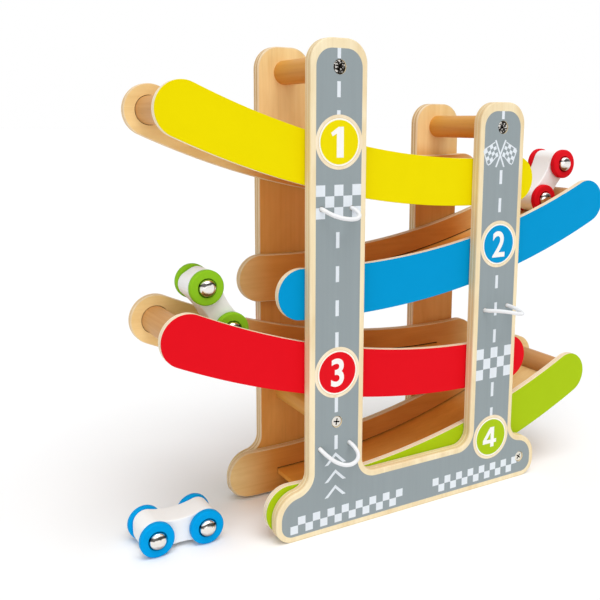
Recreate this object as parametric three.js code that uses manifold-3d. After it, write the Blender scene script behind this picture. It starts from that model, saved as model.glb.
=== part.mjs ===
// Wooden racing track: two plywood frame panels carry four curved ramps, and three small cars roll down them.
// Millimetres, +Z up, +X along the numbered front face, +Y from the front panel to the back panel.
// The origin is the middle of the front panel's flat underside.
import * as THREE from "three";
import { mergeVertices } from "three/addons/utils/BufferGeometryUtils.js";
import Module from "manifold-3d";

const wasm = await Module();
wasm.setup();

// Gap left wherever one piece fits in, or lies on, another
const FIT = 0.3;

// Frame panels
const PLY = 7;
const PANEL_PITCH = 67.6;
const UPRIGHT_SPACING = 124;
const UPRIGHT_WIDTH = 37.5;
const TOWER_CORNER = 14;
const BASE_LENGTH = 206;
const FOOT_CORNER = 11;
const FOOT_SHOULDER = 16.5;
const FOOT_TOP = 31;
const FOOT_FILLET = 10;
const WINDOW_BOTTOM = 33;
const WINDOW_CORNER = 10;
const EDGE_EASE = 0.8;

// Ramps: the middle line of a side panel is an arc, written from its lower, finish end
const RAMP_RADIUS = 500;
const RAMP_RUN = 241;
const RAMP_HEIGHT = 30.6;
const RAMP_PITCH = 62.2;
const RAMP_REACH = 82.1;
const RAMP_END_ANGLE = 3.25;
const SIDE_PLY = 5;
const FLOOR_PLY = 3;
const FLOOR_STOP = 20;
const GROOVE = 1.5;
const END_DOWEL = 16.8;
const END_SOCKET = 2;

// The lowest ramp lets the cars out on the table
const EXIT_HEIGHT = 17.4;
const EXIT_REACH = 90.6;
const EXIT_END_ANGLE = 2.2;
const EXIT_PITCH = 69.8;

// Round dowels between the frame panels, with a screw in each end
const FRAME_DOWEL = 15.2;
const FRAME_SOCKET = 2.5;
const LEFT_DOWEL_LIFT = 39.6;
const RIGHT_DOWEL_LIFT = 20;
const TOWER_CAP = 16;
const LOW_DOWEL_DROP = 14;
const FOOT_DOWEL_DROP = 12.3;
const FOOT_DOWEL_INSET = 13.5;

// Countersunk screws
const SCREW_SHANK = 3.4;
const SCREW_LENGTH = 24;
const SCREW_SINK = 0.4;
const DARK_HEAD = 8;
const BRIGHT_HEAD = 6.8;
const CROSS_LENGTH = 0.6;
const CROSS_SLOT = 0.9;
const CROSS_DEPTH = 1.1;

// Cord loops through the front panel
const CORD = 2.5;

// Cars
const WHEEL = 20.8;
const WHEEL_WIDTH = 4.4;
const WHEEL_ROUND = 1.2;
const HUB_RECESS = 11.4;
const HUB_RECESS_DEPTH = 1.2;
const WHEELBASE = 30.6;
const BODY_WIDTH = 17.4;
const BODY_HEIGHT = 19.8;
const BODY_CORNER = 7.6;
const BODY_OVERHANG = 8.2;
const BODY_WAIST = 15;
const BODY_EASE = 0.8;
const WHEEL_PLAY = 0.5;
const WHEEL_SEAT = 0.8;
const AXLE = 4;
const HUB_CAP = 10.4;
const HUB_CAP_DOME = 3.4;
const HUB_CAP_RIM = 0.8;
const GREEN_CAR_RUN = 32.2;
const GREEN_CAR_ANGLE = 30;
const RED_CAR_RUN = 22.8;
const RED_CAR_ANGLE = 35.5;
const BLUE_CAR_EXIT_GAP = 46.1;

// Facets of a round piece
const ROUND = 16;
const SMALL_ROUND = 12;

// Colours, roughness and metalness
const WOOD = { color: 0xf0dcb8, roughness: 0.6, metalness: 0 };
const DOWEL_WOOD = { color: 0xd9a765, roughness: 0.55, metalness: 0 };
const DARK_STEEL = { color: 0x2a2724, roughness: 0.35, metalness: 1 };
const BRIGHT_STEEL = { color: 0xd8d8d8, roughness: 0.2, metalness: 1 };
const CORD_WHITE = { color: 0xf2f0ec, roughness: 0.9, metalness: 0 };
const BODY_WHITE = { color: 0xf3f1ee, roughness: 0.4, metalness: 0 };
const YELLOW = { color: 0xeddf00, roughness: 0.4, metalness: 0 };
const BLUE = { color: 0x009bdc, roughness: 0.4, metalness: 0 };
const RED = { color: 0xe61423, roughness: 0.4, metalness: 0 };
const GREEN = { color: 0xaccd20, roughness: 0.4, metalness: 0 };

const track = new THREE.Group();
track.name = "wooden_racing_track";

// Depths that every piece between the panels shares
const frontInner = PLY / 2;
const backInner = PANEL_PITCH - PLY / 2;
const channelFront = frontInner + FIT + SIDE_PLY;
const channelBack = backInner - FIT - SIDE_PLY;
const middleY = PANEL_PITCH / 2;
const outerEdge = (UPRIGHT_SPACING + UPRIGHT_WIDTH) / 2;
const innerEdge = (UPRIGHT_SPACING - UPRIGHT_WIDTH) / 2;

function radians(degrees) {
  return (degrees * Math.PI) / 180;
}

// A closed three.js geometry as a solid for the cuts
function solid(geometry) {
  const bare = new THREE.BufferGeometry();
  bare.setAttribute("position", geometry.getAttribute("position"));
  bare.setIndex(geometry.getIndex());
  const merged = mergeVertices(bare, 1e-4);
  const index = merged.getIndex().array;
  const kept = [];
  for (let i = 0; i < index.length; i += 3) {
    const [a, b, c] = [index[i], index[i + 1], index[i + 2]];
    if (a !== b && b !== c && c !== a) {
      kept.push(a, b, c);
    }
  }
  const vertProperties = new Float32Array(merged.getAttribute("position").array);
  const triVerts = new Uint32Array(kept);
  return new wasm.Manifold(new wasm.Mesh({ numProp: 3, vertProperties, triVerts }));
}

function cut(body, ...tools) {
  return tools.reduce((rest, tool) => rest.subtract(tool), body);
}

function geometryOf(body) {
  const made = body.getMesh();
  const geometry = new THREE.BufferGeometry();
  geometry.setAttribute("position", new THREE.BufferAttribute(made.vertProperties, 3));
  geometry.setIndex(new THREE.BufferAttribute(made.triVerts, 1));
  return geometry;
}

function addNode(name, geometry, look) {
  const flat = geometry.toNonIndexed();
  flat.computeVertexNormals();
  const mesh = new THREE.Mesh(flat, new THREE.MeshStandardMaterial(look));
  mesh.name = name;
  track.add(mesh);
}

// Points of an arc in the X-Z plane, angles in radians from +X towards +Z
function arc(x, z, radius, from, to, steps) {
  const points = [];
  for (let i = 0; i <= steps; i += 1) {
    const angle = from + ((to - from) * i) / steps;
    points.push(new THREE.Vector2(x + radius * Math.cos(angle), z + radius * Math.sin(angle)));
  }
  return points;
}

// An X-Z outline made a board from yFrom to yTo, with its edges eased
function board(outline, yFrom, yTo, ease = 0) {
  const geometry = new THREE.ExtrudeGeometry(new THREE.Shape(outline), {
    depth: yTo - yFrom - 2 * ease,
    bevelEnabled: ease > 0,
    bevelSize: ease,
    bevelOffset: -ease,
    bevelThickness: ease,
    bevelSegments: 1,
  });
  geometry.rotateX(Math.PI / 2);
  geometry.translate(0, yTo - ease, 0);
  return solid(geometry);
}

// A round bar or hole along Y
function rod(x, z, diameter, yFrom, yTo, facets) {
  const geometry = new THREE.CylinderGeometry(diameter / 2, diameter / 2, yTo - yFrom, facets);
  geometry.translate(x, (yFrom + yTo) / 2, z);
  return solid(geometry);
}

// A profile of [radius, y] pairs, listed counterclockwise, turned round the Y axis
function turned(profile, facets) {
  const points = profile.map(([radius, y]) => new THREE.Vector2(radius, y));
  return solid(new THREE.LatheGeometry(points, facets));
}

// Ramps: side is +1 where the finish end points to +X, and start is the upper end
function rampPlan(name, look, side, reach, height, endAngle) {
  const finish = radians(-endAngle);
  const start = finish + RAMP_RUN / RAMP_RADIUS;
  const centreX = side * (reach + RAMP_RADIUS * Math.sin(finish));
  const centreZ = height + RAMP_RADIUS * Math.cos(finish);
  // The place a distance along the middle line from its start, lifted square to it
  function at(run, lift) {
    const angle = start - run / RAMP_RADIUS;
    const radius = RAMP_RADIUS - lift;
    return new THREE.Vector2(
      centreX - side * radius * Math.sin(angle),
      centreZ - radius * Math.cos(angle),
    );
  }
  // The height of a lifted line over a place on the X axis
  function heightAt(x, lift) {
    return centreZ - Math.sqrt((RAMP_RADIUS - lift) ** 2 - (x - centreX) ** 2);
  }
  return { name, look, side, at, heightAt };
}

const exitRamp = rampPlan("green", GREEN, -1, EXIT_REACH, EXIT_HEIGHT, EXIT_END_ANGLE);
const thirdHeight = EXIT_HEIGHT + EXIT_PITCH;
const [redRamp, blueRamp, yellowRamp] = [
  ["red", RED, 1],
  ["blue", BLUE, -1],
  ["yellow", YELLOW, 1],
].map(([name, look, side], level) =>
  rampPlan(name, look, side, RAMP_REACH, thirdHeight + level * RAMP_PITCH, RAMP_END_ANGLE),
);

const RAMP_STEPS = 12;
const END_STEPS = 6;

// A strip along a ramp's middle line, between two runs and two lifts
function strip(ramp, runFrom, runTo, liftFrom, liftTo) {
  const low = [];
  const high = [];
  for (let i = 0; i <= RAMP_STEPS; i += 1) {
    const run = runFrom + ((runTo - runFrom) * i) / RAMP_STEPS;
    low.push(ramp.at(run, liftFrom));
    high.push(ramp.at(run, liftTo));
  }
  return low.concat(high.reverse());
}

// The side panel's outline: the strip with a half circle at each end
function sideOutline(ramp) {
  const half = RAMP_HEIGHT / 2;
  const outline = strip(ramp, 0, RAMP_RUN, -half, half);
  const rounds = [RAMP_RUN, 0].map((run, atStart) => {
    const centre = ramp.at(run, 0);
    const edge = ramp.at(run, atStart ? half : -half).sub(centre);
    const turn = ramp.side * Math.PI;
    return arc(centre.x, centre.y, half, edge.angle(), edge.angle() + turn, END_STEPS).slice(1, -1);
  });
  const lower = outline.slice(0, RAMP_STEPS + 1);
  const upper = outline.slice(RAMP_STEPS + 1);
  return [...lower, ...rounds[0], ...upper, ...rounds[1]];
}

function addRamp(ramp) {
  const start = ramp.at(0, 0);
  const floorFrom = END_DOWEL / 2 + FIT;
  const floorTo = RAMP_RUN - FLOOR_STOP;
  const floorHalf = (channelBack - channelFront) / 2 + GROOVE - FIT;

  const groove = board(
    strip(ramp, floorFrom - FIT, floorTo + FIT, -FLOOR_PLY - FIT, FIT),
    channelFront - GROOVE,
    channelBack + GROOVE,
  );
  const socket = rod(
    start.x,
    start.y,
    END_DOWEL + 2 * FIT,
    channelFront - END_SOCKET,
    channelBack + END_SOCKET,
    ROUND,
  );
  const outline = sideOutline(ramp);
  const front = board(outline, frontInner + FIT, channelFront, EDGE_EASE);
  const back = board(outline, channelBack, backInner - FIT, EDGE_EASE);
  addNode(`${ramp.name}_ramp_front_side`, geometryOf(cut(front, groove, socket)), ramp.look);
  addNode(`${ramp.name}_ramp_back_side`, geometryOf(cut(back, groove, socket)), ramp.look);

  const floor = board(
    strip(ramp, floorFrom, floorTo, -FLOOR_PLY, 0),
    middleY - floorHalf,
    middleY + floorHalf,
  );
  addNode(`${ramp.name}_ramp_floor`, geometryOf(floor), WOOD);

  const dowel = rod(
    start.x,
    start.y,
    END_DOWEL,
    channelFront - END_SOCKET + FIT,
    channelBack + END_SOCKET - FIT,
    ROUND,
  );
  addNode(`${ramp.name}_ramp_start_dowel`, geometryOf(dowel), DOWEL_WOOD);
}

// Frame dowels: each is placed from the ramp that it must clear
const leftX = -UPRIGHT_SPACING / 2;
const rightX = UPRIGHT_SPACING / 2;
const footX = BASE_LENGTH / 2 - FOOT_DOWEL_INSET;
const rampHalf = RAMP_HEIGHT / 2;
const dowels = [
  {
    name: "top_left",
    x: leftX,
    z: yellowRamp.heightAt(leftX, rampHalf) + LEFT_DOWEL_LIFT,
    head: DARK_HEAD,
    steel: DARK_STEEL,
  },
  {
    name: "top_right",
    x: rightX,
    z: yellowRamp.heightAt(rightX, rampHalf) + RIGHT_DOWEL_LIFT,
    head: DARK_HEAD,
    steel: DARK_STEEL,
  },
  {
    name: "lower_left",
    x: leftX,
    z: redRamp.heightAt(leftX, -rampHalf) - LOW_DOWEL_DROP,
    head: BRIGHT_HEAD,
    steel: BRIGHT_STEEL,
  },
  {
    name: "right_foot",
    x: footX,
    z: exitRamp.heightAt(footX, -rampHalf) - FOOT_DOWEL_DROP,
    head: BRIGHT_HEAD,
    steel: BRIGHT_STEEL,
  },
];
const leftTop = dowels[0].z + TOWER_CAP;
const rightTop = dowels[1].z + TOWER_CAP;

// Half of the panel's outline, from the middle of its underside round to the middle of its window
function halfOutline(top) {
  const half = BASE_LENGTH / 2;
  const shoulderX = half - FOOT_SHOULDER;
  const shoulderZ = FOOT_TOP - FOOT_SHOULDER;
  const filletX = outerEdge + FOOT_FILLET;
  const reach = FOOT_SHOULDER + FOOT_FILLET;
  const filletZ = shoulderZ + Math.sqrt(reach ** 2 - (filletX - shoulderX) ** 2);
  const meet = Math.atan2(filletZ - shoulderZ, filletX - shoulderX);
  const right = Math.PI / 2;
  return [
    ...arc(half - FOOT_CORNER, FOOT_CORNER, FOOT_CORNER, -right, 0, 5),
    ...arc(shoulderX, shoulderZ, FOOT_SHOULDER, 0, meet, 5),
    ...arc(filletX, filletZ, FOOT_FILLET, meet + Math.PI, Math.PI, 4).slice(1),
    ...arc(outerEdge - TOWER_CORNER, top - TOWER_CORNER, TOWER_CORNER, 0, right, 5),
    ...arc(innerEdge + TOWER_CORNER, top - TOWER_CORNER, TOWER_CORNER, right, 2 * right, 5),
    ...arc(
      innerEdge - WINDOW_CORNER,
      WINDOW_BOTTOM + WINDOW_CORNER,
      WINDOW_CORNER,
      0,
      -right,
      4,
    ),
  ];
}

function panelOutline() {
  const left = halfOutline(leftTop).map((point) => new THREE.Vector2(-point.x, point.y));
  return halfOutline(rightTop).concat(left.reverse());
}

// A screw lying along +Y with the panel's outer face at y = 0; spare widens it to the hole that takes it
function screwBlank(head, spare, sink) {
  const headRadius = head / 2;
  const shankRadius = SCREW_SHANK / 2;
  return turned(
    [
      [0, sink],
      [headRadius + spare, sink],
      [headRadius + spare, SCREW_SINK],
      [shankRadius + spare, SCREW_SINK + headRadius - shankRadius],
      [shankRadius + spare, SCREW_LENGTH + spare],
      [0, SCREW_LENGTH + spare],
    ],
    SMALL_ROUND,
  );
}

function screwSolid(head) {
  const length = head * CROSS_LENGTH;
  const slots = [
    [length, CROSS_SLOT],
    [CROSS_SLOT, length],
  ].map(([across, up]) => {
    const box = new THREE.BoxGeometry(across, 2 * CROSS_DEPTH, up);
    return solid(box.translate(0, SCREW_SINK, 0));
  });
  return cut(screwBlank(head, 0, SCREW_SINK), ...slots);
}

// Sets a screw, or its hole, in the outer face of the front or the back panel
function atEnd(body, dowel, back) {
  if (back) {
    return body.rotate([0, 0, 180]).translate([dowel.x, PANEL_PITCH + PLY / 2, dowel.z]);
  }
  return body.translate([dowel.x, -PLY / 2, dowel.z]);
}

// Cord loops: [x from the upright's middle, distance in front of the front face, z]
const cordLoops = [
  {
    name: "upper_left_cord",
    upright: leftX,
    route: [
      [-11.5, -4, 199.9],
      [-11.5, 0, 199.9],
      [-10.9, 2.6, 199.2],
      [-8.4, 5.4, 197.4],
      [-4.2, 7.8, 195.6],
      [0.4, 9.5, 194.6],
      [4.6, 10.2, 194.4],
      [7.4, 9.6, 194.9],
      [9.3, 7.7, 196],
      [9.9, 5.1, 197.5],
      [9.4, 2.4, 198.9],
      [8.9, 0, 199.6],
      [8.9, -4, 199.6],
    ],
  },
  {
    name: "right_cord",
    upright: rightX,
    route: [
      [-9.7, -4, 126],
      [-9.7, 0, 126],
      [-9.3, 2.8, 126.2],
      [-7.6, 5.8, 126.5],
      [-4.6, 8.9, 126.6],
      [-1, 11.9, 126.3],
      [2.6, 14.6, 125.7],
      [5.8, 16, 125.1],
      [8.9, 15.4, 124.7],
      [11, 13.2, 124.7],
      [11.6, 10.2, 125.1],
      [11.2, 6.6, 126.2],
      [10.4, 3, 126.9],
      [10, 0, 127.1],
      [10, -4, 127.1],
    ],
  },
  {
    name: "lower_left_cord",
    upright: leftX,
    route: [
      [-11.6, -4, 55.2],
      [-11.6, 0, 55.2],
      [-10.4, 2.2, 53.6],
      [-6.4, 4.4, 49.6],
      [-1.6, 6.4, 46.4],
      [3.6, 7.8, 45],
      [8.2, 8.4, 46.2],
      [10.5, 8, 49.2],
      [10.3, 5.6, 52.8],
      [9.1, 2.4, 55.2],
      [9.1, -4, 55.4],
    ],
  },
].map(({ name, upright, route }) => ({
  name,
  points: route.map(([x, out, z]) => new THREE.Vector3(upright + x, -PLY / 2 - out, z)),
}));

function addCord({ name, points }) {
  const section = arc(0, 0, CORD / 2, 0, 2 * Math.PI, 8).slice(0, -1);
  const tube = new THREE.ExtrudeGeometry(new THREE.Shape(section), {
    steps: 24,
    extrudePath: new THREE.CatmullRomCurve3(points),
  });
  addNode(name, geometryOf(solid(tube)), CORD_WHITE);
}

function addFrame() {
  const screwHoles = [false, true].map((back) =>
    dowels.map((dowel) => atEnd(screwBlank(dowel.head, FIT, -PLY), dowel, back)),
  );
  const sockets = dowels.map((dowel) =>
    rod(
      dowel.x,
      dowel.z,
      FRAME_DOWEL + 2 * FIT,
      frontInner - FRAME_SOCKET,
      backInner + FRAME_SOCKET,
      ROUND,
    ),
  );
  const cordHoles = cordLoops.flatMap(({ points }) =>
    [points[0], points.at(-1)].map((end) => rod(end.x, end.z, CORD + 2 * FIT, -PLY, PLY, SMALL_ROUND)),
  );

  const outline = panelOutline();
  const front = board(outline, -PLY / 2, PLY / 2, EDGE_EASE);
  const back = board(outline, PANEL_PITCH - PLY / 2, PANEL_PITCH + PLY / 2, EDGE_EASE);
  addNode("front_frame_panel", geometryOf(cut(front, ...sockets, ...screwHoles[0], ...cordHoles)), WOOD);
  addNode("back_frame_panel", geometryOf(cut(back, ...sockets, ...screwHoles[1])), WOOD);

  dowels.forEach((dowel, i) => {
    const bar = rod(
      dowel.x,
      dowel.z,
      FRAME_DOWEL,
      frontInner - FRAME_SOCKET + FIT,
      backInner + FRAME_SOCKET - FIT,
      ROUND,
    );
    addNode(
      `${dowel.name}_dowel`,
      geometryOf(cut(bar, screwHoles[0][i], screwHoles[1][i])),
      DOWEL_WOOD,
    );
    const screw = screwSolid(dowel.head);
    addNode(`${dowel.name}_front_screw`, geometryOf(atEnd(screw, dowel, false)), dowel.steel);
    addNode(`${dowel.name}_back_screw`, geometryOf(atEnd(screw, dowel, true)), dowel.steel);
  });
}

// Car body, lying from its lead axle at the origin to its tail axle along +X
// Its four corners are round, and a hollow arc joins the corners above and below
function carBody() {
  const lift = BODY_HEIGHT / 2 - BODY_CORNER;
  const past = BODY_OVERHANG - BODY_CORNER;
  const waist = BODY_WAIST / 2;
  const middle = WHEELBASE / 2;
  const reach = middle + past;
  const dip = waist - lift;
  const hollow = (reach ** 2 + dip ** 2 - BODY_CORNER ** 2) / (2 * (BODY_CORNER - dip));
  const touch = Math.atan2(dip + hollow, reach);
  const half = Math.PI;
  const outline = [
    ...arc(WHEELBASE + past, lift, BODY_CORNER, 0, half - touch, 4),
    ...arc(middle, waist + hollow, hollow, -touch, touch - half, 6).slice(1, -1),
    ...arc(-past, lift, BODY_CORNER, touch, half, 4),
    ...arc(-past, -lift, BODY_CORNER, half, 2 * half - touch, 4),
    ...arc(middle, -waist - hollow, hollow, half - touch, touch, 6).slice(1, -1),
    ...arc(WHEELBASE + past, -lift, BODY_CORNER, touch - half, 0, 4),
  ];
  const block = board(outline, -BODY_WIDTH / 2, BODY_WIDTH / 2, BODY_EASE);
  const bores = [0, WHEELBASE].map((x) =>
    rod(x, 0, AXLE + 2 * FIT, -BODY_WIDTH, BODY_WIDTH, SMALL_ROUND),
  );
  return geometryOf(cut(block, ...bores));
}

// Wheel round the Y axis, its inner face at y = 0 and its recessed face towards +Y
function carWheel() {
  const radius = WHEEL / 2;
  const bore = AXLE / 2 + FIT;
  const right = Math.PI / 2;
  const inner = arc(radius - WHEEL_ROUND, WHEEL_ROUND, WHEEL_ROUND, -right, 0, 2);
  const outer = arc(radius - WHEEL_ROUND, WHEEL_WIDTH - WHEEL_ROUND, WHEEL_ROUND, 0, right, 2);
  const rim = [...inner, ...outer].map((point) => [point.x, point.y]);
  return geometryOf(
    turned(
      [
        [bore, 0],
        ...rim,
        [HUB_RECESS / 2, WHEEL_WIDTH],
        [HUB_RECESS / 2, WHEEL_WIDTH - HUB_RECESS_DEPTH],
        [bore, WHEEL_WIDTH - HUB_RECESS_DEPTH],
        [bore, 0],
      ],
      ROUND,
    ),
  );
}

// Axle round the Y axis, with a domed cap in the recess of each wheel
function carAxle() {
  const cap = HUB_CAP / 2;
  const capFrom = BODY_WIDTH / 2 + WHEEL_PLAY + WHEEL_WIDTH - HUB_RECESS_DEPTH + FIT;
  const ball = (cap ** 2 + HUB_CAP_DOME ** 2) / (2 * HUB_CAP_DOME);
  const ballY = capFrom + HUB_CAP_RIM + HUB_CAP_DOME - ball;
  const edge = Math.asin((ball - HUB_CAP_DOME) / ball);
  const dome = arc(0, ballY, ball, edge, Math.PI / 2, 3).map((point) => [point.x, point.y]);
  dome.at(-1)[0] = 0;
  const farHalf = [[AXLE / 2, capFrom], [cap, capFrom], ...dome];
  const nearHalf = farHalf.map(([radius, y]) => [radius, -y]).reverse();
  return geometryOf(turned([...nearHalf, ...farHalf], SMALL_ROUND));
}

// A car from the place of its lead axle and the direction of its tail axle
function addCar(name, look, x, z, direction) {
  const wheelFrom = BODY_WIDTH / 2 + WHEEL_PLAY;
  const body = carBody().rotateY(-direction).translate(x, middleY, z);
  addNode(`${name}_car_body`, body, BODY_WHITE);
  [
    ["lead", 0],
    ["tail", WHEELBASE],
  ].forEach(([end, along]) => {
    const axleX = x + along * Math.cos(direction);
    const axleZ = z + along * Math.sin(direction);
    const farWheel = carWheel().translate(0, wheelFrom, 0);
    const nearWheel = farWheel.clone().rotateZ(Math.PI);
    addNode(`${name}_car_${end}_axle`, carAxle().translate(axleX, middleY, axleZ), BRIGHT_STEEL);
    addNode(`${name}_car_${end}_near_wheel`, nearWheel.translate(axleX, middleY, axleZ), look);
    addNode(`${name}_car_${end}_far_wheel`, farWheel.translate(axleX, middleY, axleZ), look);
  });
}

// A car that stands on its lead wheels and leans back towards the ramp's upper end
function addLeaningCar(name, look, ramp, run, angle) {
  const lead = ramp.at(run, WHEEL / 2 + WHEEL_SEAT);
  addCar(name, look, lead.x, lead.y, Math.PI / 2 + ramp.side * radians(angle));
}

addFrame();
[yellowRamp, blueRamp, redRamp, exitRamp].forEach(addRamp);
cordLoops.forEach(addCord);
addLeaningCar("green", GREEN, redRamp, GREEN_CAR_RUN, GREEN_CAR_ANGLE);
addLeaningCar("red", RED, blueRamp, RED_CAR_RUN, RED_CAR_ANGLE);
const exitX = exitRamp.at(RAMP_RUN, 0).x;
addCar("blue", BLUE, exitX - BLUE_CAR_EXIT_GAP - WHEELBASE, WHEEL / 2, 0);

export default track;
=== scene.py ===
import math

import bpy
from mathutils import Matrix, Vector


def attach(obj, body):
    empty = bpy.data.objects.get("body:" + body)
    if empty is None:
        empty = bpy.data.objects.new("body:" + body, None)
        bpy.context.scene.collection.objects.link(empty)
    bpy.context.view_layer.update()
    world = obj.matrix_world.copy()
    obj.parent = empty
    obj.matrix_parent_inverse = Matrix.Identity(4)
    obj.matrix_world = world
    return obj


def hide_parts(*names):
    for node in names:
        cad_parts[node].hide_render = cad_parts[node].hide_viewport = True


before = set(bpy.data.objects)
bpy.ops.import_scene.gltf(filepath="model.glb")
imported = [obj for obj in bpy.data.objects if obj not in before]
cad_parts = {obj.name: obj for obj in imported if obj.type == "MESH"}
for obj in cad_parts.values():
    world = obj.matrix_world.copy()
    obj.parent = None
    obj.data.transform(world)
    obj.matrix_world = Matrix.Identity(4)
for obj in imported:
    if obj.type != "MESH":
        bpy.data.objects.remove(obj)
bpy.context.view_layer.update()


# The photograph's view: a long lens at the front left of the track, level with its upper half.
# The picture is cropped off the lens's middle, so the camera carries that small shift.
lens = bpy.data.cameras.new("photo_lens")
lens.lens = 47.03
lens.sensor_width = 36
lens.shift_x = -0.0370
lens.shift_y = -0.0880
camera = bpy.data.objects.new("photo_camera", lens)
bpy.context.scene.collection.objects.link(camera)
camera.matrix_world = (
    Matrix.Translation((-0.29627, -0.38865, 0.24948))
    @ Matrix.Rotation(math.radians(-30.11), 4, "Z")
    @ Matrix.Rotation(math.radians(90 - 9.13), 4, "X")
    @ Matrix.Rotation(math.radians(0.30), 4, "Z")
)
bpy.context.scene.camera = camera
bpy.context.scene.view_settings.view_transform = "Standard"


# The studio: a white paper floor in a white tent, with a broad light from high in front and a weak one
# from the left. Materials are built here first, from values that carry their own sums.
class Value:
    """One output of a material's nodes. Sums on values add the Math nodes that work them out."""

    def __init__(self, finish, socket):
        self.finish = finish
        self.socket = socket

    def sum(self, operation, *others):
        return self.finish.node("ShaderNodeMath", {"operation": operation}, [self, *others])

    def __add__(self, other):
        return self.sum("ADD", other)

    def __mul__(self, other):
        return self.sum("MULTIPLY", other)

    def __sub__(self, other):
        return self.sum("SUBTRACT", other)

    def __rsub__(self, other):
        return self.finish.node("ShaderNodeMath", {"operation": "SUBTRACT"}, [other, self])

    def __truediv__(self, other):
        return self.sum("DIVIDE", other)

    def __gt__(self, other):
        return self.sum("GREATER_THAN", other)

    def __lt__(self, other):
        return self.sum("LESS_THAN", other)

    def __abs__(self):
        return self.sum("ABSOLUTE")

    __radd__ = __add__
    __rmul__ = __mul__

    def part(self, output):
        """Another output of the same node."""
        return Value(self.finish, self.socket.node.outputs[output])


class Finish:
    """A material for one surface of the track."""

    def __init__(self, name, **constants):
        self.material = bpy.data.materials.new(name)
        self.material.use_nodes = True
        self.tree = self.material.node_tree
        self.shader = self.tree.nodes["Principled BSDF"]
        for socket, value in constants.items():
            self.shader.inputs[socket.replace("_", " ").title().replace("Ior", "IOR")].default_value = value
        self.place = self.node("ShaderNodeTexCoord").part("Object")

    def node(self, kind, settings=(), sockets=()):
        """Adds a node: its settings first, then the values or links of its sockets."""
        made = self.tree.nodes.new(kind)
        for setting, value in dict(settings).items():
            setattr(made, setting, value)
        named = sockets.items() if isinstance(sockets, dict) else enumerate(sockets)
        for socket, value in named:
            self.feed(made.inputs[socket], value)
        return Value(self, made.outputs[0])

    def feed(self, socket, value):
        if isinstance(value, Value):
            self.tree.links.new(value.socket, socket)
        else:
            socket.default_value = value

    def mix(self, factor, first, second):
        """A colour between two colours."""
        mixed = self.node("ShaderNodeMix", {"data_type": "RGBA"}, {0: factor, 6: first, 7: second})
        return mixed.part(2)

    def axes(self):
        """The place on the object as its x, y and z."""
        split = self.node("ShaderNodeSeparateXYZ", (), [self.place])
        return split, split.part("Y"), split.part("Z")

    def noise(self, stretch, detail=3.0, seed=0.0, twist=0.0):
        """Noise with its own number of blotches to the metre along each axis; twist curls it."""
        moved = self.node(
            "ShaderNodeMapping", (), {"Vector": self.place, "Location": (seed, seed, seed), "Scale": stretch}
        )
        sockets = {"Vector": moved, "Scale": 1.0, "Detail": detail, "Distortion": twist}
        return self.node("ShaderNodeTexNoise", (), sockets)

    def show(self, color=None, roughness=None, height=None, depth=0.0001):
        """Feeds the finished values to the shader. Height is in depths."""
        if color is not None:
            self.feed(self.shader.inputs["Base Color"], color)
        if roughness is not None:
            self.feed(self.shader.inputs["Roughness"], roughness)
        if height is not None:
            bump = self.node("ShaderNodeBump", (), {"Height": height, "Distance": depth, "Strength": 1.0})
            self.feed(self.shader.inputs["Normal"], bump)
        return self.material


def tint(red, green, blue):
    """A colour as it is read off the picture, 0 to 255, for a shader."""
    shares = (red / 255, green / 255, blue / 255)
    return tuple(c / 12.92 if c <= 0.04045 else ((c + 0.055) / 1.055) ** 2.4 for c in shares) + (1.0,)


paper = Finish("paper_floor", roughness=0.9)
paper_tone = paper.noise((3, 3, 3))
paper_look = paper.show(color=paper.mix(paper_tone, tint(250, 251, 253), tint(253, 254, 255)))
bpy.ops.object.select_all(action="DESELECT")
bpy.ops.mesh.primitive_plane_add(size=40)
floor = bpy.context.object
floor.name = "paper_floor"
floor.data.materials.append(paper_look)

sky = bpy.data.worlds.new("studio")
sky.use_nodes = True
bpy.context.scene.world = sky
sky_nodes = sky.node_tree.nodes
sky_links = sky.node_tree.links
sky_light = sky_nodes["Background"]
sky_light.inputs["Color"].default_value = (1.0, 0.995, 0.985, 1.0)
sky_light.inputs["Strength"].default_value = 0.42
sky_seen = sky_nodes.new("ShaderNodeBackground")
sky_seen.inputs["Color"].default_value = (1.0, 1.0, 1.0, 1.0)
sky_path = sky_nodes.new("ShaderNodeLightPath")
sky_pick = sky_nodes.new("ShaderNodeMixShader")
sky_rays = sky_path.outputs["Is Camera Ray"]
for ray in ("Is Glossy Ray", "Is Transmission Ray"):
    either = sky_nodes.new("ShaderNodeMath")
    either.operation = "MAXIMUM"
    sky_links.new(sky_rays, either.inputs[0])
    sky_links.new(sky_path.outputs[ray], either.inputs[1])
    sky_rays = either.outputs[0]
sky_links.new(sky_rays, sky_pick.inputs[0])
sky_links.new(sky_light.outputs[0], sky_pick.inputs[1])
sky_links.new(sky_seen.outputs[0], sky_pick.inputs[2])
sky_links.new(sky_pick.outputs[0], sky_nodes["World Output"].inputs["Surface"])


def soft_light(name, towards, strength, spread):
    """A broad light that shines one way all over the studio."""
    light = bpy.data.lights.new(name, "SUN")
    light.energy = strength
    light.angle = math.radians(spread)
    stand = bpy.data.objects.new(name, light)
    bpy.context.scene.collection.objects.link(stand)
    stand.matrix_world = Vector(towards).to_track_quat("-Z", "Y").to_matrix().to_4x4()


soft_light("overhead_light", (0, 0.34, -0.94), 1.8, 45)
soft_light("front_left_light", (0.5, 0.75, -0.45), 0.7, 60)


# Front frame panel: seven-millimetre birch plywood, sawn in one piece as two uprights on a base bar with
# round feet. Its edges are eased and lacquered, and its face is printed grey inside a bare border.
MM = 0.001
PLY = 7 * MM


def arc(x, z, radius, start, end, steps):
    """Points of an arc in the X-Z plane, in millimetres and degrees."""
    points = []
    for i in range(steps + 1):
        angle = math.radians(start + (end - start) * i / steps)
        points.append((x + radius * math.cos(angle), z + radius * math.sin(angle)))
    return points


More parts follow.
